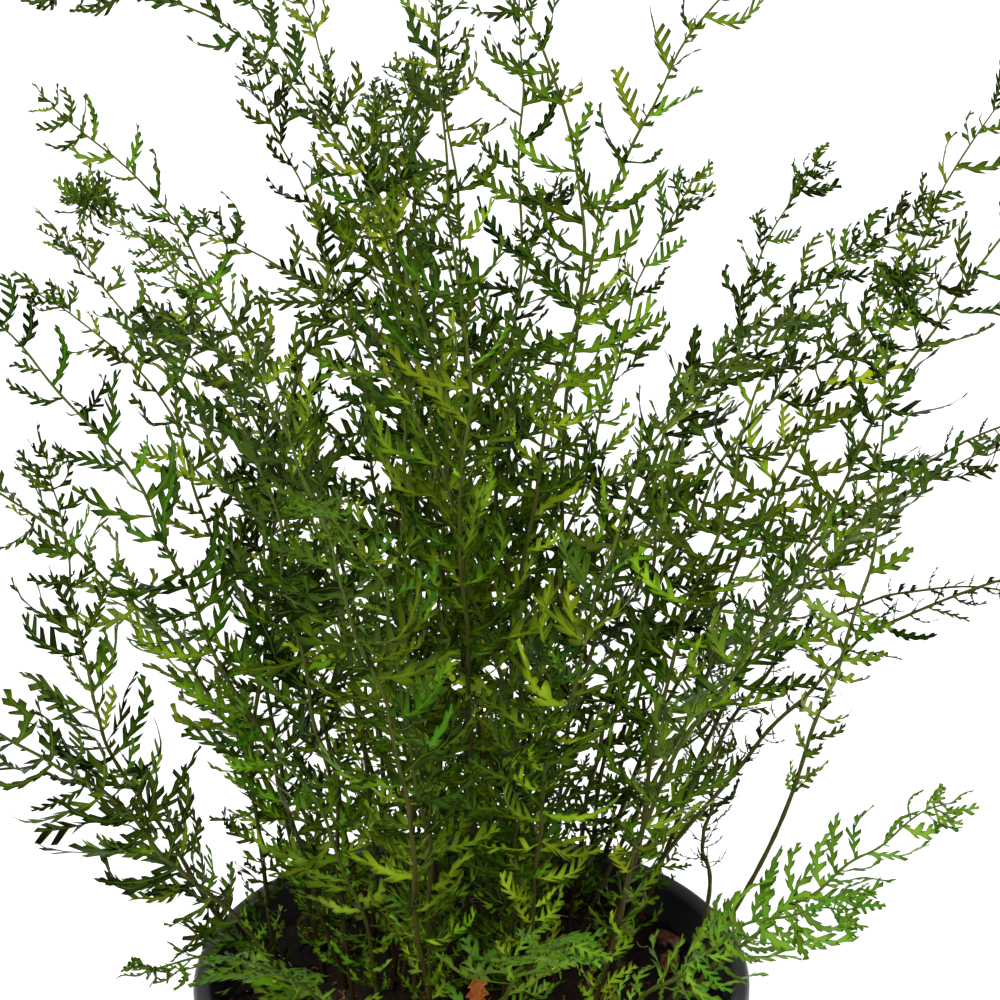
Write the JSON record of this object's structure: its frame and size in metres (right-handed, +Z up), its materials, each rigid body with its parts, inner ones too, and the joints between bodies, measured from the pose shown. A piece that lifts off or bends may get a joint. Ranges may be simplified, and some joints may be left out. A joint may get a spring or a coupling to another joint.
{
  "type": "potted fern",
  "caption": "Potted fern: a plastic nursery pot with a rolled rim, filled with compost, holding a clump of slender upright and arching fronds with narrow toothed leaflets.",
  "frame": {"origin": "middle of the pot's underside, on the surface that it stands on", "axes": "+Z up along the pot's axis, +X to the right and -Y towards the viewer of the plant's front"},
  "size_m": [0.4269, 0.3122, 0.5054],
  "materials": {
    "pot_plastic": "satin",
    "compost": "matte",
    "rhizome": "matte",
    "frond_green": "satin",
    "young_green": "satin",
    "wiry_green": "satin",
    "crested_green": "satin",
    "bark": "matte",
    "dead_leaf": "matte",
    "yellow_leaf": "matte"
  },
  "bodies": {
    "root": {"bark_chip_1": "bark", "bark_chip_2": "bark", "bark_chip_3": "bark", "bark_chip_4": "bark", "bark_chip_5": "bark", "compost": "compost", "crested_frond_01": "crested_green", "crested_frond_02": "crested_green", "crown": "rhizome", "dead_leaf": "dead_leaf", "frond_01": "frond_green", "frond_02": "frond_green", "frond_03": "frond_green", "frond_04": "frond_green", "frond_05": "frond_green", "frond_06": "frond_green", "frond_07": "frond_green", "frond_08": "frond_green", "frond_09": "frond_green", "frond_10": "frond_green", "frond_11": "frond_green", "frond_12": "frond_green", "frond_13": "frond_green", "frond_14": "frond_green", "frond_15": "frond_green", "frond_16": "frond_green", "frond_17": "frond_green", "frond_18": "frond_green", "frond_19": "frond_green", "frond_20": "frond_green", "frond_21": "frond_green", "frond_22": "frond_green", "frond_23": "frond_green", "frond_24": "frond_green", "frond_25": "frond_green", "frond_26": "frond_green", "frond_27": "frond_green", "frond_28": "frond_green", "frond_29": "frond_green", "frond_30": "frond_green", "frond_31": "frond_green", "frond_32": "frond_green", "frond_33": "frond_green", "frond_34": "frond_green", "frond_35": "frond_green", "frond_36": "frond_green", "frond_37": "frond_green", "pot": "pot_plastic", "wiry_frond_01": "wiry_green", "wiry_frond_02": "wiry_green", "wiry_frond_03": "wiry_green", "wiry_frond_04": "wiry_green", "yellow_leaf": "yellow_leaf", "young_frond_01": "young_green", "young_frond_02": "young_green", "young_frond_03": "young_green", "young_frond_04": "young_green", "young_frond_05": "young_green", "young_frond_06": "young_green"}
  },
  "joints": []
}
